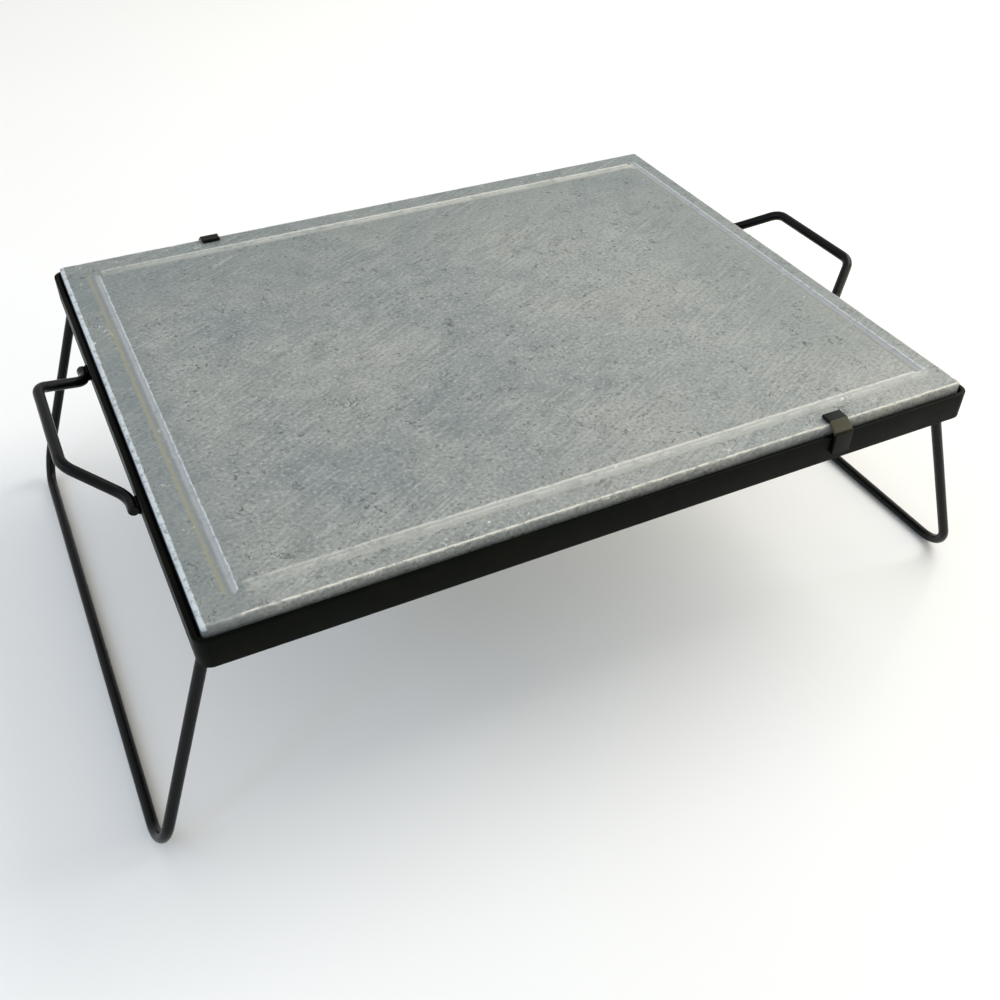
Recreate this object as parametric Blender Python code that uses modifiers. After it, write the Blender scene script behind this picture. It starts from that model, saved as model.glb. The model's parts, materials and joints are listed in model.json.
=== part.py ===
"""A soapstone cooking slab held in a steel carrying stand.

A rectangular stone with a drip groove near each edge sits in a band of flat bar. Four flat bars
under the stone carry it, and two bent strips hook over its edge so that it can be turned over.
Round-wire handles are welded to the short sides. Two U-shaped wire legs pivot in short bushes
under the stone's corners: opened, each leg leans on the band's lower edge, and folded, it lies
flat inside the band.

X runs along the long side, Y across it and Z up. The origin is on the ground, under the middle
of the stone. All sizes are in metres.
"""

import math

import bmesh
import bpy
from mathutils import Matrix, Vector

# ---- sizes that are set by themselves ----
STONE_LENGTH = 0.500
STONE_WIDTH = 0.4025
STONE_THICKNESS = 0.015
STONE_EASE = 0.0012
STONE_TOP_HEIGHT = 0.1752

GROOVE_WIDTH = 0.008
SIDE_GROOVE_DEPTH = 0.0016
CROSS_GROOVE_DEPTH = 0.0008
# Each groove's middle is this far in from its own edge of the stone, and its two ends are this
# far from the edges that it runs towards: the front and back, or the left and right.
LEFT_GROOVE = {"inset": 0.0204, "ends": (0.016, 0.020)}
RIGHT_GROOVE = {"inset": 0.0150, "ends": (0.019, 0.012)}
FRONT_GROOVE = {"inset": 0.0195, "ends": (0.020, 0.009)}
BACK_GROOVE = {"inset": 0.0215, "ends": (0.019, 0.013)}

BAND_HEIGHT = 0.019
BAND_THICKNESS = 0.0032
BAND_BEND_INSIDE = 0.0048
BAND_BELOW_STONE = 0.0095

CROSSBAR_WIDTH = 0.020
CROSSBAR_THICKNESS = 0.003
REST_EASE = 0.0003
CROSSBAR_OFFSET = 0.125
END_REST_WIDTH = 0.012
END_REST_LENGTH = 0.356

WIRE_DIAMETER = 0.007
BUSH_WALL = 0.0012
BUSH_LENGTH = 0.005
BUSH_FROM_STONE_EDGE = 0.0018
LEG_FOOT_INSET = 0.002
LEG_TOP_BEND = 0.006
LEG_FOOT_BEND = 0.024

HANDLE_GRIP = 0.086
HANDLE_BASE = 0.132
HANDLE_SPAN = 0.161
HANDLE_REACH = 0.0350
HANDLE_TILT = math.radians(30)
HANDLE_GRIP_BEND = 0.013
HANDLE_FOOT_BEND = 0.014

CLIP_WIDTH = 0.0135
CLIP_THICKNESS = 0.0022
CLIP_TONGUE = 0.008
CLIP_SHOULDER = 0.002
CLIP_TAB_ABOVE_BAND_FOOT = 0.0068
FRONT_CLIP_X = 0.1485
BACK_CLIP_X = -0.1375

# ---- clearances ----
STONE_TO_BAND = 0.002
TOUCH = 0.0003
PIN_TO_BORE = 0.0003
BUSH_TO_BAND = 0.0005
BUSH_TO_STONE = 0.00035
PIN_PAST_BUSH = 0.001
BUSH_TO_BEND = 0.0006
TONGUE_LIFT = 0.0005
ARRIS_TO_CLIP_BEND = 0.0006
CLIP_BEND_INSIDE = 0.0002

# ---- sizes that follow ----
WIRE_RADIUS = WIRE_DIAMETER / 2
STONE_UNDERSIDE = STONE_TOP_HEIGHT - STONE_THICKNESS
BAND_BOTTOM = STONE_UNDERSIDE - BAND_BELOW_STONE
BAND_TOP = BAND_BOTTOM + BAND_HEIGHT
BAND_MIDDLE = (BAND_TOP + BAND_BOTTOM) / 2
INNER_X = STONE_LENGTH / 2 + STONE_TO_BAND
INNER_Y = STONE_WIDTH / 2 + STONE_TO_BAND
OUTER_X = INNER_X + BAND_THICKNESS
OUTER_Y = INNER_Y + BAND_THICKNESS

BUSH_BORE = WIRE_RADIUS + PIN_TO_BORE
BUSH_RADIUS = BUSH_BORE + BUSH_WALL
PIVOT_X = INNER_X - BUSH_TO_BAND - BUSH_RADIUS
PIVOT_Z = STONE_UNDERSIDE - BUSH_TO_STONE - BUSH_RADIUS
# The opened leg rests against the band's inner lower edge, and that sets how far it leans.
TO_EDGE = math.hypot(INNER_X - PIVOT_X, PIVOT_Z - BAND_BOTTOM)
LEG_SPLAY = math.atan2(INNER_X - PIVOT_X, PIVOT_Z - BAND_BOTTOM) - math.asin(
    (WIRE_RADIUS + TOUCH) / TO_EDGE
)

ARC_STEP = math.radians(9)


# ---- scene helpers ----
def clear_scene():
    for obj in list(bpy.data.objects):
        bpy.data.objects.remove(obj, do_unlink=True)
    for found in list(bpy.data.collections):
        bpy.data.collections.remove(found)


def new_collection(name, hidden=False):
    made = bpy.data.collections.new(name)
    made.hide_render = hidden
    bpy.context.scene.collection.children.link(made)
    return made


def finish(name, color, roughness, metallic):
    made = bpy.data.materials.new(name)
    made.use_nodes = True
    made.diffuse_color = (*color, 1)
    shader = made.node_tree.nodes["Principled BSDF"]
    shader.inputs["Base Color"].default_value = (*color, 1)
    shader.inputs["Roughness"].default_value = roughness
    shader.inputs["Metallic"].default_value = metallic
    return made


def steel(name):
    return finish(f"{name}_black_paint", (0.012, 0.013, 0.012), 0.42, 0.0)


def place(name, data, material=None):
    made = bpy.data.objects.new(name, data)
    if material:
        data.materials.append(material)
    target = PARTS if material else CUTTERS
    target.objects.link(made)
    if not material:
        made.hide_render = True
        made.display_type = "WIRE"
    return made


# ---- shape helpers ----
def rounded_path(corners, radii):
    """The corner points joined by straight lines, each inner corner as an arc of its radius."""
    path = [corners[0]]
    for before, corner, after, radius in zip(corners, corners[1:], corners[2:], radii):
        back = (before - corner).normalized()
        ahead = (after - corner).normalized()
        half = back.angle(ahead) / 2
        centre = corner + (back + ahead).normalized() * radius / math.sin(half)
        start = corner + back * radius / math.tan(half) - centre
        end = corner + ahead * radius / math.tan(half) - centre
        turn = math.pi - 2 * half
        steps = max(2, round(turn / ARC_STEP))
        for index in range(steps + 1):
            share = index / steps
            arm = start * math.sin((1 - share) * turn) + end * math.sin(share * turn)
            path.append(centre + arm / math.sin(turn))
    path.append(corners[-1])
    return path


def wire(name, path, origin):
    """A round steel wire along a path, with flat cut ends and its origin where it turns."""
    curve = bpy.data.curves.new(name, "CURVE")
    curve.dimensions = "3D"
    curve.bevel_depth = WIRE_RADIUS
    curve.bevel_resolution = 4
    curve.use_fill_caps = True
    spline = curve.splines.new("POLY")
    spline.points.add(len(path) - 1)
    for point, spot in zip(spline.points, path):
        point.co = (*(spot - origin), 1)
    spline.use_smooth = True
    made = place(name, curve, steel(name))
    made.location = origin
    return made


def flat_shape(name, outlines, thickness):
    """Closed outlines filled as one sheet, a second one inside the first as its hole."""
    curve = bpy.data.curves.new(name, "CURVE")
    curve.dimensions = "2D"
    curve.fill_mode = "BOTH"
    curve.extrude = thickness / 2
    for outline in outlines:
        spline = curve.splines.new("POLY")
        spline.points.add(len(outline) - 1)
        for point, spot in zip(spline.points, outline):
            point.co = (spot[0], spot[1], 0, 1)
        spline.use_cyclic_u = True
        spline.use_smooth = True
    return place(name, curve, steel(name))


def circle(radius, count=32):
    turn = 2 * math.pi / count
    return [Vector((radius * math.cos(turn * k), radius * math.sin(turn * k))) for k in range(count)]


def rounded_rectangle(half_x, half_y, radius):
    steps = round(math.pi / 2 / ARC_STEP)
    outline = []
    for quarter, (side_x, side_y) in enumerate(((1, 1), (-1, 1), (-1, -1), (1, -1))):
        centre = Vector((side_x * (half_x - radius), side_y * (half_y - radius)))
        for step in range(steps + 1):
            angle = (quarter + step / steps) * math.pi / 2
            outline.append(centre + radius * Vector((math.cos(angle), math.sin(angle))))
    return outline


def box(name, size, centre, ease, material):
    mesh = bpy.data.meshes.new(name)
    shape = bmesh.new()
    bmesh.ops.create_cube(shape, size=1, matrix=Matrix.Diagonal((*size, 1)))
    shape.to_mesh(mesh)
    shape.free()
    made = place(name, mesh, material)
    made.location = centre
    rounding = made.modifiers.new("eased_edges", "BEVEL")
    rounding.width = ease
    rounding.segments = 2
    return made


# ---- the stone ----
def groove_cutter(name, start, end, depth):
    """A long round-ended form: only its lowest part dips into the stone and cuts the groove."""
    radius = (GROOVE_WIDTH**2 / 4 + depth**2) / (2 * depth)
    run = end - start
    half_run = run.length / 2 - GROOVE_WIDTH / 2
    shape = bmesh.new()
    bmesh.ops.create_uvsphere(shape, u_segments=64, v_segments=33, radius=radius)
    for vertex in shape.verts:
        vertex.co.z += math.copysign(half_run, vertex.co.z)
    mesh = bpy.data.meshes.new(name)
    shape.to_mesh(mesh)
    shape.free()
    cutter = place(name, mesh)
    cutter.rotation_euler = run.to_track_quat("Z", "Y").to_euler()
    cutter.location = (start + end) / 2 + Vector((0, 0, radius - depth))
    return cutter


def make_stone():
    grey = finish("soapstone", (0.30, 0.32, 0.31), 0.62, 0.0)
    size = (STONE_LENGTH, STONE_WIDTH, STONE_THICKNESS)
    middle = (0, 0, STONE_UNDERSIDE + STONE_THICKNESS / 2)
    stone = box("stone_slab", size, middle, STONE_EASE, grey)
    half_x, half_y = STONE_LENGTH / 2, STONE_WIDTH / 2
    cutters = []
    for side, groove in ((-1, LEFT_GROOVE), (1, RIGHT_GROOVE)):
        x = side * (half_x - groove["inset"])
        near, far = groove["ends"]
        start = Vector((x, near - half_y, STONE_TOP_HEIGHT))
        end = Vector((x, half_y - far, STONE_TOP_HEIGHT))
        cutters.append((f"side_groove_{len(cutters)}", start, end, SIDE_GROOVE_DEPTH))
    for side, groove in ((-1, FRONT_GROOVE), (1, BACK_GROOVE)):
        y = side * (half_y - groove["inset"])
        left, right = groove["ends"]
        start = Vector((left - half_x, y, STONE_TOP_HEIGHT))
        end = Vector((half_x - right, y, STONE_TOP_HEIGHT))
        cutters.append((f"cross_groove_{len(cutters)}", start, end, CROSS_GROOVE_DEPTH))
    for name, start, end, depth in cutters:
        cut = stone.modifiers.new(name, "BOOLEAN")
        cut.operation = "DIFFERENCE"
        cut.solver = "EXACT"
        cut.object = groove_cutter(name, start, end, depth)


# ---- the frame ----
def make_band():
    inner = rounded_rectangle(INNER_X, INNER_Y, BAND_BEND_INSIDE)
    outer = rounded_rectangle(OUTER_X, OUTER_Y, BAND_BEND_INSIDE + BAND_THICKNESS)
    band = flat_shape("frame_band", (outer, inner), BAND_HEIGHT)
    band.location.z = BAND_MIDDLE


def make_rests():
    """Four flat bars that the stone lies on: two across the middle, and one along each end."""
    z = STONE_UNDERSIDE - TOUCH - CROSSBAR_THICKNESS / 2
    cross = (CROSSBAR_WIDTH, 2 * (INNER_Y - TOUCH), CROSSBAR_THICKNESS)
    end = (END_REST_WIDTH, END_REST_LENGTH, CROSSBAR_THICKNESS)
    end_x = INNER_X - TOUCH - END_REST_WIDTH / 2
    for word, side in (("left", -1), ("right", 1)):
        for name, size, x in (("crossbar", cross, CROSSBAR_OFFSET), ("end_rest", end, end_x)):
            full_name = f"{name}_{word}"
            box(full_name, size, (side * x, 0, z), REST_EASE, steel(full_name))


def make_bushes():
    inset = BUSH_FROM_STONE_EDGE + BUSH_LENGTH / 2
    for side, word in ((-1, "left"), (1, "right")):
        for end, place_word in ((-1, "front"), (1, "back")):
            name = f"pivot_bush_{place_word}_{word}"
            bush = flat_shape(name, (circle(BUSH_RADIUS), circle(BUSH_BORE)), BUSH_LENGTH)
            bush.rotation_euler = (math.pi / 2, 0, 0)
            bush.location = (side * PIVOT_X, end * (STONE_WIDTH / 2 - inset), PIVOT_Z)


# ---- the legs ----
def make_leg(name, side):
    """One wire: pin, upright, ground bar, upright, pin. It turns about the line of its pins."""
    pin_y = STONE_WIDTH / 2 - BUSH_FROM_STONE_EDGE + PIN_PAST_BUSH
    top_y = STONE_WIDTH / 2 - BUSH_FROM_STONE_EDGE - BUSH_LENGTH - BUSH_TO_BEND - LEG_TOP_BEND
    foot_y = STONE_WIDTH / 2 - LEG_FOOT_INSET
    foot_x = PIVOT_X + (PIVOT_Z - WIRE_RADIUS) * math.tan(LEG_SPLAY)
    corners = []
    for end in (-1, 1):
        half = [
            Vector((side * PIVOT_X, end * pin_y, PIVOT_Z)),
            Vector((side * PIVOT_X, end * top_y, PIVOT_Z)),
            Vector((side * foot_x, end * foot_y, WIRE_RADIUS)),
        ]
        corners += half if end < 0 else half[::-1]
    bends = (LEG_TOP_BEND, LEG_FOOT_BEND, LEG_FOOT_BEND, LEG_TOP_BEND)
    wire(name, rounded_path(corners, bends), Vector((side * PIVOT_X, 0, PIVOT_Z)))


# ---- the handles ----
def make_handle(name, side):
    """Feet along the band, arms drawing together, and a straight grip, all in one tilted plane."""
    line_x = OUTER_X + TOUCH + WIRE_RADIUS
    grip_x = line_x + HANDLE_REACH * math.cos(HANDLE_TILT)
    grip_z = BAND_MIDDLE + HANDLE_REACH * math.sin(HANDLE_TILT)
    corners = []
    for end in (-1, 1):
        half = [
            Vector((side * line_x, end * HANDLE_SPAN / 2, BAND_MIDDLE)),
            Vector((side * line_x, end * HANDLE_BASE / 2, BAND_MIDDLE)),
            Vector((side * grip_x, end * HANDLE_GRIP / 2, grip_z)),
        ]
        corners += half if end < 0 else half[::-1]
    bends = (HANDLE_FOOT_BEND, HANDLE_GRIP_BEND, HANDLE_GRIP_BEND, HANDLE_FOOT_BEND)
    wire(name, rounded_path(corners, bends), Vector((side * line_x, 0, BAND_MIDDLE)))


# ---- the clips ----
def strip_outline(path, thickness):
    """The two sides of a bent strip whose middle follows the path, as one closed outline."""
    ahead = [(b - a).normalized() for a, b in zip(path, path[1:])]
    turns = zip([ahead[0]] + ahead, ahead + [ahead[-1]])
    across = []
    for one, other in turns:
        along = (one + other).normalized()
        across.append(Vector((-along.y, along.x)) * thickness / 2 / along.dot(one))
    left = [spot + off for spot, off in zip(path, across)]
    right = [spot - off for spot, off in zip(path, across)]
    return left + right[::-1]


def make_clip(name, x, end):
    """A strip: a tab on the band, a slope up over the stone's edge, and a tongue on its top."""
    half = CLIP_THICKNESS / 2
    tab_out = OUTER_Y + TOUCH + half
    stone_edge = STONE_WIDTH / 2
    tongue_z = STONE_TOP_HEIGHT + TONGUE_LIFT + half
    corners = [
        Vector((tab_out, BAND_BOTTOM + CLIP_TAB_ABOVE_BAND_FOOT)),
        Vector((tab_out, BAND_TOP + CLIP_SHOULDER)),
        Vector((stone_edge - ARRIS_TO_CLIP_BEND, tongue_z)),
        Vector((stone_edge - CLIP_TONGUE, tongue_z)),
    ]
    bends = [half + CLIP_BEND_INSIDE] * 2
    outline = strip_outline(rounded_path(corners, bends), CLIP_THICKNESS)
    clip = flat_shape(name, (outline,), CLIP_WIDTH)
    # The outline's own X becomes the way out from the stone, and its Y becomes up.
    clip.rotation_euler = (math.pi / 2, 0, end * math.pi / 2)
    clip.location.x = x


clear_scene()
PARTS = new_collection("soapstone_grill_stand")
CUTTERS = new_collection("cutters", hidden=True)

make_stone()
make_band()
make_rests()
make_bushes()
make_leg("leg_left", -1)
make_leg("leg_right", 1)
make_handle("handle_left", -1)
make_handle("handle_right", 1)
make_clip("clip_front", FRONT_CLIP_X, -1)
make_clip("clip_back", BACK_CLIP_X, 1)
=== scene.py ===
# %% [markdown]
# # A soapstone cooking slab on its folding stand
# A thick plate of soapstone lies in a band of black flat bar. The band carries two wire handles,
# two hold-down clips and two wire legs that fold flat under the stone. The steel frame is
# loaded first, and every finished piece is laid exactly over the solid that it stands for.

import json
import math

import bpy
import numpy as np
from mathutils import Matrix, Vector, noise


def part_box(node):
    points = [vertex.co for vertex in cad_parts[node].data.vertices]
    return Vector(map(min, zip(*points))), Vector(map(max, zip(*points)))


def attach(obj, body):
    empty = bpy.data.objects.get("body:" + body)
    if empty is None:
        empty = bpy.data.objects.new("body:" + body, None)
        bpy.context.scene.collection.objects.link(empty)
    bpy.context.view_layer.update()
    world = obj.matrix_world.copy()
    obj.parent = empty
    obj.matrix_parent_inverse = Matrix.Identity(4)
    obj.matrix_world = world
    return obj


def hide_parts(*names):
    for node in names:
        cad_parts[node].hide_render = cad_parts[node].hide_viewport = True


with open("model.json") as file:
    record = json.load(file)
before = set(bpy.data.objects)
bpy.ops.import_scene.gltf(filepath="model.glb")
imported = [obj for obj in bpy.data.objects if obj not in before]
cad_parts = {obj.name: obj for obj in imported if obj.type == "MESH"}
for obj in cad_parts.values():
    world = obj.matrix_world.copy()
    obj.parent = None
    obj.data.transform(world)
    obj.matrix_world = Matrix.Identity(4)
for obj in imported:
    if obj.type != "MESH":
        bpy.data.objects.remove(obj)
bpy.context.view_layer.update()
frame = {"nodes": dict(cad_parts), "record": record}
slab_low, slab_high = (Vector(v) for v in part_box("stone_slab"))
band_low, band_high = (Vector(v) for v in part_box("frame_band"))
print("slab", [round(v * 1000, 1) for v in slab_high - slab_low], "mm")

# %% [markdown]
# ## Small helpers
# Colours are picked as hex codes, the way a paint chart gives them, but a renderer counts light,
# so one function turns them to linear values. Another adds a node of any kind with its settings
# and its links, which keeps a long node tree readable. Millimetres are easier to think in than
# metres here, so MM turns one into the other.

# %% Colours, nodes and finished pieces
MM = 0.001
MATH, RANGE, MIX, NOISE = (f"ShaderNode{kind}" for kind in ("Math", "MapRange", "Mix", "TexNoise"))
TIMES, PLUS, MINUS, SIZE = ({"operation": word} for word in ("MULTIPLY", "ADD", "SUBTRACT", "ABSOLUTE"))
SOFT = {"interpolation_type": "SMOOTHSTEP"}
TONES = {"data_type": "RGBA"}


def linear(code):
    parts = [int(code[i : i + 2], 16) / 255 for i in (1, 3, 5)]
    return (*[p / 12.92 if p <= 0.04045 else ((p + 0.055) / 1.055) ** 2.4 for p in parts], 1)


def add(tree, kind, *values, **settings):
    """Adds a node and gives its first live output. The values fill its inputs in order, or one
    dictionary fills them by name or number, and a value that is a socket is linked."""
    node = tree.nodes.new(kind)
    for key, value in settings.items():
        setattr(node, key, value)
    named = values[0] if values and isinstance(values[0], dict) else dict(enumerate(values))
    for key, value in named.items():
        if isinstance(value, bpy.types.NodeSocket):
            tree.links.new(value, node.inputs[key])
        else:
            node.inputs[key].default_value = value
    return next((socket for socket in node.outputs if socket.enabled), None)


def mesh_object(name, mesh, body, slot, *stands_for):
    made = bpy.data.objects.new(name, mesh)
    bpy.context.scene.collection.objects.link(made)
    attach(made, body)
    if stands_for:
        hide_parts(*stands_for)
    print(name, len(mesh.polygons), "faces")
    return made


# %% [markdown]
# ## Soapstone, sawn and rubbed smooth
# Soapstone is mostly talc. Rubbed smooth it is a dull mid grey with a cool cast, clouded where the
# talc is purer, sprinkled with dark chlorite grains and short dark threads, and crossed by the
# faint parallel lines of the saw. The patterns read Object coordinates in millimetres, so each one
# has a real size: the table gives how wide its blotches are, then its detail, roughness and warp.

# %% The stone's patterns
HALF_X, HALF_Y, TOP = (v / MM for v in slab_high)
SAW_ANGLE = math.radians(29)


def shader_tree(name):
    made = bpy.data.materials.new(name)
    made.use_nodes = True
    made.node_tree.nodes.clear()
    return made, made.node_tree


soapstone, tree = shader_tree("soapstone_rubbed")
coords = add(tree, "ShaderNodeTexCoord").node.outputs["Object"]
place = add(tree, "ShaderNodeMapping", {"Vector": coords, "Scale": (1000, 1000, 1000)})
x_axis, y_axis, z_axis = add(tree, "ShaderNodeSeparateXYZ", place).node.outputs
# Saw lines are noise drawn out along one direction, about 30 degrees off the long side.
sawn = add(tree, "ShaderNodeMapping",
           {"Vector": place, "Rotation": (0, 0, SAW_ANGLE), "Scale": (30, 1.9, 1)}, vector_type="TEXTURE")

pattern = {}
for name, where, size_mm, detail, roughness, warp in (
    ("clouds", place, 120, 2, 0.5, 0.4),
    ("tufts", place, 17, 4, 0.6, 0.6),
    ("grain", place, 2.4, 2, 0.6, 0),
    ("saw", sawn, 1, 2, 0.6, 0),
    ("saw patch", place, 90, 1, 0.5, 0),
    ("flock", place, 34, 2, 0.5, 0),
    ("grains", place, 3.4, 1, 0.5, 0),
    ("thread line", place, 13, 3, 0.6, 1.2),
    ("thread spot", place, 15, 1, 0.5, 0),
    ("waver", place, 7, 3, 0.6, 0),
    ("crumble", place, 4.5, 4, 0.7, 0),
    ("scratch line", place, 19, 1, 0.5, 2.5),
    ("scratch spot", place, 11, 2, 0.5, 0),
):
    pattern[name] = add(tree, NOISE, {"Vector": where, "Scale": 1 / size_mm, "Detail": detail,
                                      "Roughness": roughness, "Distortion": warp})
print(len(pattern), "patterns")

# %% [markdown]
# The colour is built up the way a painter glazes, each layer a tone and the share of it that
# covers what is below. First come the broad clouds, then a painted sheen that lightens the
# block's right-hand half, most towards the front, the tufts, the grain, and a darker tone over
# the rim outside the grooves, most of it at the left, the right and the back.

# %% Clouds, painted sheen, grain and darker rim
# A painted sheen: lighter to the right and towards the front of the top.
painted_sheen = add(tree, RANGE, x_axis, -120, 190, 0, 0.46, **SOFT)
painted_sheen = add(tree, MATH, painted_sheen, add(tree, RANGE, y_axis, 230, 20, 0.25, 1, **SOFT), **TIMES)

# The rim outside the grooves is made darker towards the left, the back and the right.
darker_left_rim = add(tree, RANGE, x_axis, 18 - HALF_X, 42 - HALF_X, 0.50, 0, **SOFT)
darker_back_rim = add(tree, RANGE, y_axis, HALF_Y - 150, HALF_Y - 20, 0, 0.38, **SOFT)
darker_right_rim = add(tree, MATH, add(tree, RANGE, x_axis, HALF_X - 110, HALF_X - 45, 0, 0.38, **SOFT),
                   add(tree, RANGE, y_axis, 25 - HALF_Y, 80 - HALF_Y, **SOFT), **TIMES)
darker_rim = add(tree, MATH, darker_left_rim, darker_back_rim, operation="MAXIMUM")
darker_rim = add(tree, MATH, darker_rim, darker_right_rim, operation="MAXIMUM")

colour = linear("#7d8585")
for tone, share in (
    ("#8e918d", add(tree, RANGE, pattern["clouds"], 0.36, 0.64, **SOFT)),
    # The painted sheen.
    ("#a4a49d", painted_sheen),
    ("#a6a8a3", add(tree, RANGE, pattern["tufts"], 0.45, 0.72, 0, 0.40, **SOFT)),
    ("#697271", add(tree, RANGE, pattern["tufts"], 0.50, 0.28, 0, 0.42, **SOFT)),
    ("#5d6665", add(tree, RANGE, pattern["grain"], 0.50, 0.30, 0, 0.60, **SOFT)),
    ("#b9bab4", add(tree, RANGE, pattern["grain"], 0.54, 0.72, 0, 0.55, **SOFT)),
    ("#6c7777", darker_rim),
):
    colour = add(tree, MIX, {0: share, 6: colour, 7: linear(tone)}, **TONES)

# %% [markdown]
# The saw leaves dark and pale lines, clearer in some patches than in others. Chlorite shows as
# dark grains of 1 to 2 mm in loose flocks, and as short wandering threads. A thread is where one
# noise crosses its middle value, and a second noise allows it only in spots.

# %% Saw lines, grains and threads
saw_patch = add(tree, RANGE, pattern["saw patch"], 0.38, 0.58, 0.25, 1, **SOFT)
for tone, low, high, most in (("#67706f", 0.50, 0.32, 0.34), ("#b4b6b0", 0.52, 0.68, 0.28)):
    share = add(tree, RANGE, pattern["saw"], low, high, 0, most, **SOFT)
    share = add(tree, MATH, share, saw_patch, **TIMES)
    colour = add(tree, MIX, {0: share, 6: colour, 7: linear(tone)}, **TONES)

flock = add(tree, RANGE, pattern["flock"], 0.42, 0.64, 0.25, 1, **SOFT)
grains = add(tree, MATH, add(tree, RANGE, pattern["grains"], 0.665, 0.73, **SOFT), flock, **TIMES)
line = add(tree, MATH, add(tree, MATH, pattern["thread line"], 0.5, **MINUS), **SIZE)
spot = add(tree, RANGE, pattern["thread spot"], 0.575, 0.635, **SOFT)
threads = add(tree, MATH, add(tree, RANGE, line, 0.017, 0.004, **SOFT), spot, **TIMES)
dark = add(tree, MATH, add(tree, MATH, grains, 0.75, **TIMES), add(tree, MATH, threads, 0.8, **TIMES),
           operation="MAXIMUM")
colour = add(tree, MIX, {0: dark, 6: colour, 7: linear("#434b49")}, **TONES)

# %% [markdown]
# Wherever a tool bit or the edge was knocked, the crushed talc turns chalk white, and old fat has
# dried to olive lines along the grooves. In the two short grooves the wall that faces left also
# gets a painted highlight, and the olive wall that faces right painted shade. A groove runs along
# each edge, and no two are alike, so a table holds how far in its middle lies, how far its ends
# stop short, and its depth. The lines follow coordinates that waver a little, so they look cut by
# hand.

# %% The grooves' sizes, and tools for lines along them
GROOVE = 8.0
END_CURVE = 0.2
# How far in each groove's middle lies from its edge, and its two ends from the edges across.
GROOVES = {
    "left": {"inset": 20.4, "ends": (16.0, 20.0), "depth": 1.6},
    "right": {"inset": 15.0, "ends": (19.0, 12.0), "depth": 1.6},
    "front": {"inset": 19.5, "ends": (20.0, 9.0), "depth": 0.8},
    "back": {"inset": 21.5, "ends": (19.0, 13.0), "depth": 0.8},
}
waver = add(tree, MATH, add(tree, MATH, pattern["waver"], 0.5, **MINUS), 1.6, **TIMES)
along_x = add(tree, MATH, x_axis, waver, **PLUS)
along_y = add(tree, MATH, y_axis, waver, **PLUS)
crumble = pattern["crumble"]
on_top = add(tree, RANGE, z_axis, TOP - 3.2, TOP - 2.6, **SOFT)


def stripe(tree, value, low, high, soft):
    """One inside low to high, falling to zero over the soft width on either side."""
    rise = add(tree, RANGE, value, low - soft, low + soft, **SOFT)
    fall = add(tree, RANGE, value, high - soft, high + soft, 1, 0, **SOFT)
    return add(tree, MATH, rise, fall, **TIMES)


def painted(colour, tone, *shares):
    """Lays a tone over the colour by all its shares, only on the upper face and its arrises."""
    cover = on_top
    for share in shares:
        cover = add(tree, MATH, cover, share, **TIMES)
    return add(tree, MIX, {0: cover, 6: colour, 7: linear(tone)}, **TONES)


# %% Paint the grooves along the short edges, with painted light and shade on their walls
for side, word in ((-1, "left"), (1, "right")):
    groove = GROOVES[word]
    near, far = groove["ends"][0] - HALF_Y, HALF_Y - groove["ends"][1]
    across = add(tree, MATH, along_x, side * (HALF_X - groove["inset"]), **MINUS)
    # A round cutter leaves round ends, so the tones stop sooner away from the groove's middle.
    turned = add(tree, MATH, add(tree, MATH, across, across, **TIMES), END_CURVE, **TIMES)
    from_near = add(tree, MATH, y_axis, turned, **MINUS)
    to_far = add(tree, MATH, y_axis, turned, **PLUS)
    run = add(tree, MATH, add(tree, RANGE, from_near, near - 0.5, near + 0.5, **SOFT),
              add(tree, RANGE, to_far, far - 0.5, far + 0.5, 1, 0, **SOFT), **TIMES)
    gate = add(tree, RANGE, crumble, 0.30, 0.52, 0.55, 1, **SOFT)
    for low, high, soft, tone, share in (
        (-4.0, 4.0, 0.5, "#808584", 0.70),
        # A painted highlight on the wall that faces left, towards the light.
        (0.9, 3.9, 1.2, "#aeafb0", 0.85),
        # Olive stain on the wall that faces right, deepened with painted shade.
        (-4.1, -2.5, 0.8, "#87856a", 0.80),
    ):
        colour = painted(colour, tone, stripe(tree, across, low, high, soft), run, gate, share)
    # A bluish-white painted highlight along the top of the wall that faces left.
    painted_highlight_edge = stripe(tree, across, 3.6, 4.6, 0.3)
    gate = add(tree, RANGE, crumble, 0.35, 0.55, 0.25, 0.85, **SOFT)
    colour = painted(colour, "#c9cfcf", painted_highlight_edge, run, gate)
    print(word, "groove", round(far - near, 1), "mm long")

# %% Paint the grooves along the long edges
for side, word in ((-1, "front"), (1, "back")):
    groove = GROOVES[word]
    near, far = groove["ends"][0] + GROOVE - HALF_X, HALF_X - groove["ends"][1]
    run = add(tree, MATH, stripe(tree, x_axis, near, far, 1.0),
              add(tree, RANGE, x_axis, -HALF_X, -20, 0.45, 1, **SOFT), **TIMES)
    across = add(tree, MATH, along_y, side * (HALF_Y - groove["inset"]), **MINUS)
    for low, high, soft, tone, share, chance, gate in (
        (-4.0, 4.2, 0.8, "#b3b5af", 0.70, pattern["tufts"], (0.30, 0.55, 0.5, 1)),
        (-4.8, -3.5, 0.5, "#a5a28c", 0.60, crumble, (0.40, 0.56)),
        (3.1, 4.4, 0.45, "#cdcbc2", 0.85, crumble, (0.36, 0.5, 0.3, 1)),
        (0.6, 1.5, 0.4, "#cbc9bd", 0.60, pattern["tufts"], (0.46, 0.56)),
        (-2.4, -1.8, 0.3, "#6f7674", 0.45, pattern["tufts"], (0.44, 0.56)),
    ):
        gate = add(tree, RANGE, chance, *gate, **SOFT)
        colour = painted(colour, tone, stripe(tree, across, low, high, soft), run, gate, share)
    print(word, "groove", round(far - near, 1), "mm long")

# %% [markdown]
# The four top arrises are bruised white, widest on the left and in a thin broken line on the
# front. Short pale scratches lie thickest outside the grooves, where pans and the clips have
# rubbed. Dull talc scatters light widely, and only the rubbed high spots keep a faint sheen.

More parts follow.
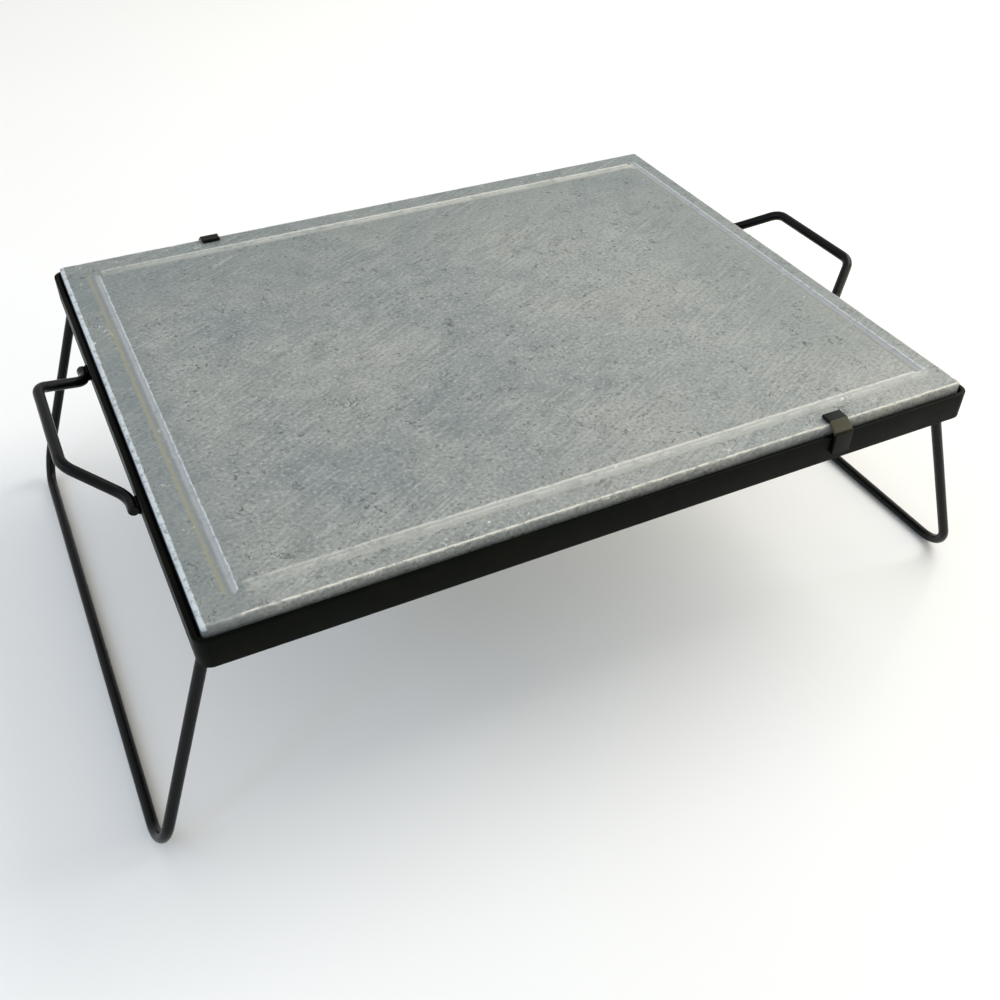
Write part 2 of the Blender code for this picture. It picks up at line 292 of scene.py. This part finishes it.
# %% Arrises, scratches and surface
past_corner = add(tree, RANGE, x_axis, 8 - HALF_X, 26 - HALF_X, 0.15, 1, **SOFT)
for value, low, high, tone, share in (
    (along_x, -HALF_X - 2, -HALF_X + 2.7, "#c9d0d4", 0.90),
    (along_y, -HALF_Y + 0.5, -HALF_Y + 1.7, "#d9d5c8", 0.95),
    (along_x, HALF_X - 1.6, HALF_X + 2, "#b9b6b1", 0.60),
    (along_y, HALF_Y - 1.8, HALF_Y + 2, "#bfc0ba", 0.70),
):
    gate = add(tree, RANGE, crumble, 0.36, 0.52, 0.25, 1, **SOFT)
    shares = [stripe(tree, value, low, high, 0.45), gate, share]
    if value is along_y:
        shares.append(past_corner)
    colour = painted(colour, tone, *shares)

line = add(tree, MATH, add(tree, MATH, pattern["scratch line"], 0.5, **MINUS), **SIZE)
line = add(tree, RANGE, line, 0.010, 0.003, **SOFT)
spot = add(tree, RANGE, pattern["scratch spot"], 0.60, 0.66, **SOFT)
margins = [add(tree, RANGE, add(tree, MATH, axis, **SIZE), half - 28, half - 22, 0.12, most, **SOFT)
           for axis, half, most in ((y_axis, HALF_Y, 1), (x_axis, HALF_X, 0.8))]
margin = add(tree, MATH, *margins, operation="MAXIMUM")
colour = painted(colour, "#d9d8cf", line, spot, margin)

rough = add(tree, RANGE, pattern["tufts"], 0.3, 0.7, 0.52, 0.68, **SOFT)
relief = add(tree, MATH, add(tree, MATH, pattern["saw"], 0.35, **TIMES),
             add(tree, MATH, pattern["grain"], 0.5, **TIMES), **PLUS)
relief = add(tree, MATH, relief, add(tree, MATH, dark, 0.5, **TIMES), **MINUS)
bump = add(tree, "ShaderNodeBump", {"Height": relief, "Strength": 0.35, "Distance": 0.25 * MM})
surface = add(tree, "ShaderNodeBsdfPrincipled",
              {"Base Color": colour, "Roughness": rough, "IOR": 1.54, "Normal": bump})
add(tree, "ShaderNodeOutputMaterial", {"Surface": surface})
print(soapstone.name, len(tree.nodes), "nodes")

# %% [markdown]
# ## Black stove paint
# The steel is brushed with satin black alkyd paint. Black paint is seen almost only by what it
# mirrors: it has a faint orange peel of a millimetre or so, pulls thin over the arrises where
# brown steel shows, and holds a film of dust in patches. The same recipe serves the flat bar and
# the wire; the wire is a little glossier because it was dipped. The clips' slopes over the stone's
# edge tilt up toward the light, so that recipe takes one more tone: a paler olive painted highlight.

# %% The black paint materials
def black_paint(name, body, thin, dusty, gloss, gleam, lit_slope_tone=None):
    made, tree = shader_tree(name)
    coords = add(tree, "ShaderNodeTexCoord").node.outputs["Object"]
    place = add(tree, "ShaderNodeMapping", {"Vector": coords, "Scale": (1000, 1000, 1000)})
    drag = add(tree, "ShaderNodeMapping", {"Vector": place, "Scale": (1 / 30, 1 / 30, 1 / 1.6)})
    patches, peel, strokes, dust = (
        add(tree, NOISE, {"Vector": where, "Scale": 1 / size_mm, "Detail": detail,
                          "Roughness": roughness, "Distortion": warp})
        for where, size_mm, detail, roughness, warp in (
            (place, 38, 4, 0.6, 0.5), (place, 1.3, 2, 0.5, 0),
            (drag, 1, 3, 0.6, 0), (place, 9, 5, 0.7, 0)))
    colour = linear(body)
    layers = [(thin, add(tree, RANGE, patches, 0.48, 0.68, 0, 0.8, **SOFT)),
              (dusty, add(tree, RANGE, dust, 0.56, 0.74, 0, 0.35, **SOFT))]
    # The clip's slope over the stone's edge, tilted up toward the light, gets a paler olive painted
    # highlight in patches.
    if lit_slope_tone:
        x, y, z = add(tree, "ShaderNodeSeparateXYZ", place).node.outputs
        slope = stripe(tree, add(tree, MATH, y, **SIZE), HALF_Y - 0.4, HALF_Y + 6.4, 0.5)
        above = add(tree, RANGE, z, band_high.z / MM + 0.6, band_high.z / MM + 1.6, **SOFT)
        slope = add(tree, MATH, slope, above, **TIMES)
        rubbed = add(tree, RANGE, patches, 0.2, 0.6, 0.6, 1, **SOFT)
        layers.append((lit_slope_tone, add(tree, MATH, slope, rubbed, **TIMES)))
    for tone, share in layers:
        colour = add(tree, MIX, {0: share, 6: colour, 7: linear(tone)}, **TONES)
    rough = add(tree, MATH, add(tree, RANGE, patches, 0.3, 0.7, gloss - 0.06, gloss + 0.10, **SOFT),
                add(tree, RANGE, strokes, 0.3, 0.7, -0.04, 0.05, **SOFT), **PLUS)
    relief = add(tree, MATH, add(tree, MATH, peel, 0.6, **TIMES),
                 add(tree, MATH, strokes, 0.5, **TIMES), **PLUS)
    bump = add(tree, "ShaderNodeBump", {"Height": relief, "Strength": 0.30, "Distance": 0.12 * MM})
    surface = add(tree, "ShaderNodeBsdfPrincipled", {
        "Base Color": colour, "Roughness": rough, "IOR": 1.5, "Specular IOR Level": gleam, "Normal": bump})
    add(tree, "ShaderNodeOutputMaterial", {"Surface": surface})
    print(name, len(tree.nodes), "nodes")
    return made


bar_paint = black_paint("black_brushed_paint_on_flat_bar", "#030602", "#0f0f06", "#191a0f", 0.42, 0.05)
wire_paint = black_paint("black_dipped_paint_on_wire", "#020403", "#060806", "#0e120e", 0.27, 0.16)
# The clips carry a painted highlight on their slopes.
clip_paint = black_paint("black_paint_on_clips_with_painted_highlight", "#0a0e08", "#1a1d14", "#24261c", 0.48, 0.12,
                         lit_slope_tone="#4e4c3c")

kept_solids = [f"{kind}_{side}" for side in ("left", "right")
               for kind in ("crossbar", "end_rest", "pivot_bush_front", "pivot_bush_back")]
for node in kept_solids:
    for held in frame["nodes"][node].material_slots:
        held.material = bar_paint
print(len(kept_solids), "solids keep their shape and get the bar's paint")

# %% [markdown]
# ## The slab
# The slab could be a box with bevels, but a real one has four scooped grooves and an arris that
# is chipped by use. It is one fine grid here: the rows are packed close together near the edges
# and the grooves, where the shape changes, and wide apart in the flat middle. Every point is
# then lowered by the depth of the groove or the chip that it lies in.

# %% Where the rows lie, and how deep a groove is
CORNER = 2.4


def row_places(half, fine, coarse):
    """Places from one edge to the other, packed at the edges and in the grooved margins."""
    edge = [0, 0.12, 0.3, 0.55, 0.85, 1.25, 1.75, 2.4]
    margin = list(np.arange(3.2, 30.5, fine))
    side = np.array(edge + margin)
    inner = half - side[-1]
    count = round(2 * inner / coarse)
    middle = np.linspace(-inner, inner, count + 1)[1:-1]
    return np.concatenate([side - half, middle, (half - side)[::-1]])


def groove_depth(x, y):
    deepest = 0.0
    for word, groove in GROOVES.items():
        sideways = word in ("left", "right")
        side = -1 if word in ("left", "front") else 1
        across, along = (x, y) if sideways else (y, x)
        half, run_half = (HALF_X, HALF_Y) if sideways else (HALF_Y, HALF_X)
        offset = abs(across - side * (half - groove["inset"])) / (GROOVE / 2)
        if offset >= 1:
            continue
        near, far = groove["ends"]
        to_end = min(along + run_half - near, run_half - far - along)
        to_end -= END_CURVE * (offset * GROOVE / 2) ** 2
        fade = min(max(to_end / 1.8, 0), 1)
        profile = (1 - offset**2.4) * math.sqrt(fade * (2 - fade))
        deepest = max(deepest, groove["depth"] * profile)
    return deepest


# %% Chips, and where each point goes
def arris_radius(x, y):
    """The rubbed corner's radius here, larger where a chip has gone."""
    base = 1.15 + 0.35 * noise.noise(Vector((x / 23, y / 23, 3.1)))
    chip = noise.noise(Vector((x / 4.2, y / 4.2, 7.7))) + 0.5 * noise.noise(Vector((x / 1.9, y / 1.9, 1.3)))
    return base + max(0.0, chip - 0.42) * 3.4


def top_point(x, y):
    from_edge = min(HALF_X - abs(x), HALF_Y - abs(y))
    z = TOP - groove_depth(x, y)
    radius = arris_radius(x, y)
    if from_edge < radius:
        z -= radius - math.sqrt(radius**2 - (radius - from_edge) ** 2)
    if from_edge > 3:
        z += 0.02 * noise.noise(Vector((x / 30, y / 30, 0.4)))
    # A square corner is drawn in to a rounded one.
    u, v = (max(0.0, (CORNER - (half - abs(w))) / CORNER) for half, w in ((HALF_X, x), (HALF_Y, y)))
    if u > 0 and v > 0:
        x = math.copysign(HALF_X - CORNER + CORNER * u * math.sqrt(1 - v * v / 2), x)
        y = math.copysign(HALF_Y - CORNER + CORNER * v * math.sqrt(1 - u * u / 2), y)
    return x, y, z


# %% Build the slab
columns = row_places(HALF_X, 0.9, 1.9)
rows = row_places(HALF_Y, 0.9, 3.4)
wide, deep = len(columns), len(rows)
points = [top_point(x, y) for y in rows for x in columns]
faces = [(j * wide + i, j * wide + i + 1, (j + 1) * wide + i + 1, (j + 1) * wide + i)
         for j in range(deep - 1) for i in range(wide - 1)]
ring = (list(range(wide)) + [j * wide + wide - 1 for j in range(1, deep)]
        + [(deep - 1) * wide + i for i in range(wide - 2, -1, -1)]
        + [j * wide for j in range(deep - 2, 0, -1)])

# Rings of points go down the sides. Each has its height and how far it is drawn in, and the first
# one follows the chipped arris at a fixed distance below it.
BELOW_ARRIS = 0.75
bottom = slab_low.z / MM
rings = [(None, 0.0)] + [(TOP - down, 0.0) for down in (4.5, 8.0, 11.0)]
rings += [(bottom + 0.9, 0.0), (bottom + 0.3, 0.25), (bottom, 0.9)]
last = ring
for height, inset in rings:
    start = len(points)
    for index in ring:
        x, y, z = points[index]
        level = z - BELOW_ARRIS if height is None else height
        rub = 0.10 * noise.noise(Vector((x / 5, y / 5, level / 5)))
        x = math.copysign(abs(x) - inset * (abs(x) / HALF_X) - max(0, rub), x)
        y = math.copysign(abs(y) - inset * (abs(y) / HALF_Y) - max(0, rub), y)
        points.append((x, y, level))
    fresh = list(range(start, len(points)))
    count = len(ring)
    faces += [(last[i], fresh[i], fresh[(i + 1) % count], last[(i + 1) % count]) for i in range(count)]
    last = fresh
faces.append(tuple(reversed(last)))

slab_mesh = bpy.data.meshes.new("soapstone_slab")
slab_mesh.from_pydata([(x * MM, y * MM, z * MM) for x, y, z in points], [], faces)
slab_mesh.polygons.foreach_set("use_smooth", [True] * (len(faces) - 1) + [False])
slab_mesh.materials.append(soapstone)
slab_mesh.validate()
mesh_object("soapstone_slab", slab_mesh, "stand", "soapstone", "stone_slab")

# %% [markdown]
# ## Bent bar and bent wire
# The band and the clips are flat bar, and the legs and handles are round wire. Both are the same
# idea, a section carried along a path, so Geometry Nodes make them: one tree sweeps a rectangle
# with rounded arrises, and the other a circle whose radius shrinks at the cut ends. Each path is
# a curve of straight runs and true arcs, worked out from the solids' own boxes.

# %% Start and end of a tree
def new_tree(name, sockets):
    tree = bpy.data.node_groups.new(name, "GeometryNodeTree")
    tree.interface.new_socket("Geometry", in_out="INPUT", socket_type="NodeSocketGeometry")
    tree.interface.new_socket("Geometry", in_out="OUTPUT", socket_type="NodeSocketGeometry")
    for socket, kind in sockets.items():
        tree.interface.new_socket(socket, in_out="INPUT", socket_type=f"NodeSocket{kind}")
    return tree, add(tree, "NodeGroupInput").node.outputs


def close_tree(tree, geometry, given):
    real = add(tree, "GeometryNodeRealizeInstances", {"Geometry": geometry})
    finished = add(tree, "GeometryNodeSetMaterial", {"Geometry": real, "Material": given["Material"]})
    add(tree, "NodeGroupOutput", {"Geometry": finished})
    print(tree.name, len(tree.nodes), "nodes")


# %% A tree that sweeps a flat bar
bar_tree, given = new_tree("bent_flat_bar", {
    "Width": "Float", "Thickness": "Float", "Arris": "Float", "Across": "Vector", "Material": "Material"})
section = add(bar_tree, "GeometryNodeCurvePrimitiveQuadrilateral",
              {"Width": given["Width"], "Height": given["Thickness"]})
section = add(bar_tree, "GeometryNodeFilletCurve",
              {"Curve": section, "Radius": given["Arris"], "Count": 4}, mode="POLY")
path = add(bar_tree, "GeometryNodeSetCurveNormal",
           {"Curve": given["Geometry"], "Normal": given["Across"]}, mode="FREE")
bar = add(bar_tree, "GeometryNodeCurveToMesh",
          {"Curve": path, "Profile Curve": section, "Fill Caps": True})
close_tree(bar_tree, bar, given)

# %% A tree that sweeps a wire
wire_tree, given = new_tree("bent_round_wire", {
    "Diameter": "Float", "Step": "Float", "Wander": "Float", "Seed": "Float", "Material": "Material"})
path = add(wire_tree, "GeometryNodeResampleCurve",
           {"Curve": given["Geometry"], "Length": given["Step"]}, mode="LENGTH")
# Wire that was bent by hand is never quite straight, so its points drift a little.
drift = add(wire_tree, NOISE, {"Vector": add(wire_tree, "GeometryNodeInputPosition"), "W": given["Seed"],
                               "Scale": 14.0, "Detail": 2.0}, noise_dimensions="4D").node.outputs["Color"]
drift = add(wire_tree, "ShaderNodeVectorMath", drift, (0.5, 0.5, 0.5), **MINUS)
drift = add(wire_tree, "ShaderNodeVectorMath", {0: drift, "Scale": given["Wander"]}, operation="SCALE")
path = add(wire_tree, "GeometryNodeSetPosition", {"Geometry": path, "Offset": drift})
so_far = add(wire_tree, "GeometryNodeSplineParameter").node.outputs["Length"]
whole = add(wire_tree, "GeometryNodeSplineLength").node.outputs["Length"]
to_end = add(wire_tree, MATH, so_far, add(wire_tree, MATH, whole, so_far, **MINUS), operation="MINIMUM")
taper = add(wire_tree, RANGE, to_end, 0.0, 1.1 * MM, 0.86, 1.0, **SOFT)
section = add(wire_tree, "GeometryNodeCurvePrimitiveCircle",
              {"Resolution": 24, "Radius": add(wire_tree, MATH, given["Diameter"], 0.5, **TIMES)})
wire = add(wire_tree, "GeometryNodeCurveToMesh",
           {"Curve": path, "Profile Curve": section, "Scale": taper, "Fill Caps": True})
close_tree(wire_tree, wire, given)


# %% A path with true arcs, and a mesh grown on it
def rounded_path(corners, radii, closed=False):
    """The corners joined by straight lines, each one turned through an arc of its radius."""
    count = len(corners)
    inner = range(count) if closed else range(1, count - 1)
    path = [] if closed else [corners[0]]
    for index, radius in zip(inner, radii):
        corner = corners[index]
        back = (corners[index - 1] - corner).normalized()
        ahead = (corners[(index + 1) % count] - corner).normalized()
        half = back.angle(ahead) / 2
        centre = corner + (back + ahead).normalized() * radius / math.sin(half)
        start = corner + back * radius / math.tan(half) - centre
        end = corner + ahead * radius / math.tan(half) - centre
        turn = math.pi - 2 * half
        steps = max(6, round(turn / math.radians(5)))
        for step in range(steps + 1):
            share = step / steps
            arm = start * math.sin((1 - share) * turn) + end * math.sin(share * turn)
            path.append(centre + arm / math.sin(turn))
    return path if closed else path + [corners[-1]]


def grown(name, tree, paths, values):
    """Runs a tree on curves along the paths and keeps the result as a plain mesh."""
    curve = bpy.data.curves.new(name, "CURVE")
    curve.dimensions = "3D"
    for points, closed in paths:
        spline = curve.splines.new("POLY")
        spline.points.add(len(points) - 1)
        spline.points.foreach_set("co", [v for point in points for v in (*point, 1)])
        spline.use_cyclic_u = closed
    base = bpy.data.objects.new(name, curve)
    bpy.context.scene.collection.objects.link(base)
    maker = base.modifiers.new("made_by", "NODES")
    maker.node_group = tree
    sockets = {item.name: item.identifier for item in tree.interface.items_tree if item.in_out == "INPUT"}
    for key, value in values.items():
        maker[sockets[key]] = value
    graph = bpy.context.evaluated_depsgraph_get()
    mesh = bpy.data.meshes.new_from_object(base.evaluated_get(graph), depsgraph=graph)
    bpy.data.objects.remove(base)
    bpy.data.curves.remove(curve)
    mesh.name = name
    mesh.shade_smooth()
    mesh.set_sharp_from_angle(angle=math.radians(40))
    return mesh


# %% [markdown]
# ## The band
# One length of 19 by 3.2 mm bar goes round the stone, bent cold at the corners, so each corner
# is an arc. The bar's own arrises come rounded from the rolling mill by about half a millimetre,
# and that is what catches the sky along the band's upper edge.

# %% Make the band
BAR = 3.2 * MM
BEND_INSIDE = 4.8 * MM
middle_x = band_high.x - BAR / 2
middle_y = band_high.y - BAR / 2
level = (band_high.z + band_low.z) / 2
corners = [Vector((sx * middle_x, sy * middle_y, level)) for sx, sy in ((-1, -1), (1, -1), (1, 1), (-1, 1))]
path = rounded_path(corners, [BEND_INSIDE + BAR / 2] * 4, closed=True)
mesh = grown("flat_bar_band", bar_tree, [(path, True)], {
    "Width": band_high.z - band_low.z, "Thickness": BAR, "Arris": 0.5 * MM, "Across": (0, 0, 1),
    "Material": bar_paint})
mesh_object("flat_bar_band", mesh, "stand", "black_painted_steel", "frame_band")

# %% [markdown]
# ## The legs
# Each leg is one wire: a pin at each end turned into a bush, two uprights, and a bar on the
# ground between them. The solid's box gives the height of the pins and how far the foot swings
# out, and the wire's middle runs half a wire inside that box.

# %% Make the two legs
WIRE = 7 * MM
PIN_INSET, TOP_INSET, FOOT_INSET = 0.8 * MM, 13.4 * MM, 2 * MM
TOP_BEND, GROUND_BEND = 6 * MM, 24 * MM
hinges = {joint["child"]: Vector(joint["pos_m"]) for joint in frame["record"]["behaviour"]["joints"]}
for name, side in (("leg_left", -1), ("leg_right", 1)):
    low, high = (Vector(v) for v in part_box(name))
    pivot = hinges[name]
    foot_x = (low.x if side < 0 else high.x) - side * WIRE / 2
    half = [Vector((pivot.x, slab_high.y - PIN_INSET, pivot.z)),
            Vector((pivot.x, slab_high.y - TOP_INSET, pivot.z)),
            Vector((foot_x, slab_high.y - FOOT_INSET, low.z + WIRE / 2))]
    corners = [Vector((p.x, -p.y, p.z)) for p in half] + half[::-1]
    path = rounded_path(corners, [TOP_BEND, GROUND_BEND, GROUND_BEND, TOP_BEND])
    mesh = grown(f"wire_{name}", wire_tree, [(path, False)], {
        "Diameter": WIRE, "Step": 1.2 * MM, "Wander": 0.25 * MM, "Seed": 3.0 + side,
        "Material": wire_paint})
    mesh_object(f"wire_{name}", mesh, name, "black_painted_wire", name)

# %% [markdown]
# ## The handles
# A handle is a wire with two short feet that lie along the band, arms that draw together, and a
# straight grip. Its plane tips up by 30 degrees, so a hand has room under it.

# %% Make the two handles
TILT = math.radians(30)
REACH = 35 * MM
WELD_GAP = 0.3 * MM
FOOT_TIP, FOOT_HEEL, GRIP_END = 80.5 * MM, 66 * MM, 43 * MM
HEEL_BEND, GRIP_BEND = 14 * MM, 13 * MM
handle_x = band_high.x + WELD_GAP + WIRE / 2
for name, side in (("handle_left", -1), ("handle_right", 1)):
    out = Vector((side * math.cos(TILT), 0, math.sin(TILT))) * REACH
    half = [Vector((side * handle_x, FOOT_TIP, level)), Vector((side * handle_x, FOOT_HEEL, level)),
            Vector((side * handle_x, GRIP_END, level)) + out]
    corners = [Vector((p.x, -p.y, p.z)) for p in half] + half[::-1]
    path = rounded_path(corners, [HEEL_BEND, GRIP_BEND, GRIP_BEND, HEEL_BEND])
    mesh = grown(f"wire_{name}", wire_tree, [(path, False)], {
        "Diameter": WIRE, "Step": 1.0 * MM, "Wander": 0.2 * MM, "Seed": 8.0 + side,
        "Material": wire_paint})
    mesh_object(f"wire_{name}", mesh, "stand", "black_painted_wire", name)

# %% [markdown]
# ## The clips
# A clip is a strip bent twice: a tab on the band, a slope up over the stone's edge, and a tongue
# on top. Two of them keep the stone in the stand when it is turned over to be cleaned.

# %% Make the two clips
STRIP = 2.2 * MM
SHOULDER, TONGUE, TAB_ABOVE_BAND = 0.6 * MM, 8 * MM, 2 * MM
for name, end in (("clip_front", -1), ("clip_back", 1)):
    low, high = (Vector(v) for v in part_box(name))
    tab_y = band_high.y + WELD_GAP + STRIP / 2
    tongue_z = high.z - STRIP / 2
    outline = [(tab_y, low.z), (tab_y, band_high.z + TAB_ABOVE_BAND),
               (slab_high.y - SHOULDER, tongue_z), (slab_high.y - TONGUE, tongue_z)]
    corners = [Vector(((low.x + high.x) / 2, end * y, z)) for y, z in outline]
    path = rounded_path(corners, [1.3 * MM] * 2)
    mesh = grown(f"strip_{name}", bar_tree, [(path, False)], {
        "Width": high.x - low.x, "Thickness": STRIP, "Arris": 0.45 * MM, "Across": (1, 0, 0),
        "Material": clip_paint})
    mesh_object(f"strip_{name}", mesh, "stand", "black_painted_clip", name)

# %% [markdown]
# ## The welds
# Handles, crossbars and bushes are welded to the band, and two long beads over each bush run on to
# the end rest. A bead is a row of small pools, each frozen over the one before, so a tree drops
# flattened balls along a line, each with its own size from a fixed seed.

# %% A tree that lays a weld bead
weld_tree, given = new_tree("weld_bead", {
    "Spacing": "Float", "Ball": "Float", "Seed": "Int", "Material": "Material"})
drops = add(weld_tree, "GeometryNodeCurveToPoints",
            {"Curve": given["Geometry"], "Length": given["Spacing"]}, mode="LENGTH").node.outputs
ball = add(weld_tree, "GeometryNodeMeshIcoSphere", {"Radius": given["Ball"], "Subdivisions": 3})
size = add(weld_tree, "FunctionNodeRandomValue",
           {0: (0.9, 0.9, 0.6), 1: (1.2, 1.2, 0.8), "Seed": given["Seed"]}, data_type="FLOAT_VECTOR")
bead = add(weld_tree, "GeometryNodeInstanceOnPoints",
           {"Points": drops["Points"], "Instance": ball, "Rotation": drops["Rotation"], "Scale": size})
close_tree(weld_tree, bead, given)

# %% Lay the beads
inner_x = band_high.x - BAR
inner_y = band_high.y - BAR
beads = []
for side in (-1, 1):
    bar_low, bar_high = (Vector(v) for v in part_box("crossbar_left" if side < 0 else "crossbar_right"))
    for end in (-1, 1):
        # Above and below each handle's foot.
        for lift in (-2.5, 2.5):
            beads.append([(side * (band_high.x + 0.7 * MM), end * y * MM, level + lift * MM)
                          for y in (71, 79.5)])
        # Along each crossbar's end, on its underside.
        beads.append([(x, end * (inner_y - 0.6 * MM), bar_low.z - 0.3 * MM)
                      for x in (bar_low.x + 1.5 * MM, bar_high.x - 1.5 * MM)])
        # Under each bush, and over it on to the end rest.
        for inward, lift, far in ((0.95, -3.3, 6.2), (0.95, 3.3, 24.5), (2.8, 3.9, 24.5)):
            beads.append([(side * (inner_x - inward * MM), end * (slab_high.y - inset * MM),
                           hinges["leg_left"].z + lift * MM) for inset in (1.0, far)])
mesh = grown("weld_beads", weld_tree, [(points, False) for points in beads], {
    "Spacing": 0.95 * MM, "Ball": 1.05 * MM, "Seed": 5, "Material": bar_paint})
mesh_object("weld_beads", mesh, "stand", "black_painted_steel")

# %% [markdown]
# ## Floor, light and camera
# A pale floor that runs past the view stands in for a studio sweep. Cool light falls from the
# left as from a window, with a narrow bluer strip that the wires mirror. A whiter light comes
# from above on the right, and a weak warm one low from the right gives the black paint its olive
# cast.

# %% The floor
FLOOR_REACH = 7.0
floor_mat, tree = shader_tree("pale_studio_floor")
coords = add(tree, "ShaderNodeTexCoord").node.outputs["Object"]
mottle = add(tree, NOISE, {"Vector": coords, "Scale": 2.5, "Detail": 2})
tone = add(tree, MIX, {0: mottle, 6: linear("#f4f4f2"), 7: linear("#f8f8f7")}, **TONES)
surface = add(tree, "ShaderNodeBsdfPrincipled", {"Base Color": tone, "Roughness": 0.85})
add(tree, "ShaderNodeOutputMaterial", {"Surface": surface})
floor_mesh = bpy.data.meshes.new("floor")
outline = [(x * FLOOR_REACH, y * FLOOR_REACH, 0) for x, y in ((-1, -1), (1, -1), (1, 1), (-1, 1))]
floor_mesh.from_pydata(outline, [], [(0, 1, 2, 3)])
floor_mesh.materials.append(floor_mat)
floor = bpy.data.objects.new("floor", floor_mesh)
bpy.context.scene.collection.objects.link(floor)
print("floor", 2 * FLOOR_REACH, "m across")

# %% The lights
world = bpy.data.worlds.new("studio")
world.use_nodes = True
world.node_tree.nodes["Background"].inputs["Color"].default_value = linear("#eeeeec")
world.node_tree.nodes["Background"].inputs["Strength"].default_value = 0.80
bpy.context.scene.world = world
bpy.context.scene.view_settings.view_transform = "Standard"


def area_light(name, tone, watts, size, place, target):
    data = bpy.data.lights.new(name, "AREA")
    data.shape = "RECTANGLE"
    data.size, data.size_y = size
    data.energy = watts
    data.color = linear(tone)[:3]
    lamp = bpy.data.objects.new(name, data)
    lamp.location = place
    lamp.rotation_euler = (Vector(target) - Vector(place)).to_track_quat("-Z", "Y").to_euler()
    bpy.context.scene.collection.objects.link(lamp)
    print(name, watts, "W")


area_light("window_left", "#cfdff5", 12, (1.8, 1.4), (-2.0, 0.3, 1.1), (0, 0, 0.1))
area_light("sky_above", "#f8f6f0", 44, (1.8, 1.8), (1.9, 0.3, 1.9), (0.1, 0, 0.15))
area_light("blue_strip", "#7fb0ee", 5, (0.25, 1.6), (-1.5, -0.9, 0.8), (-0.2, 0, 0.1))
area_light("warm_right", "#f0dcae", 16, (0.9, 0.7), (2.2, -1.0, 0.5), (0.2, -0.1, 0.15))

# %% The camera
camera_data = bpy.data.cameras.new("view")
camera_data.lens = 39.582
camera_data.sensor_width = 36.0
camera_data.clip_start = 0.01
back = -Vector((0.34638, 0.67822, -0.64810)).normalized()
right = Vector((0.27948, 0.58489, 0.76144)).cross(back).normalized()
camera = bpy.data.objects.new("view", camera_data)
camera.rotation_euler = Matrix((right, back.cross(right), back)).transposed().to_euler()
camera.location = (-0.287678, -0.597237, slab_high.z + 0.40127)
bpy.context.scene.collection.objects.link(camera)
bpy.context.scene.camera = camera
print("camera", [round(v, 3) for v in camera.location])
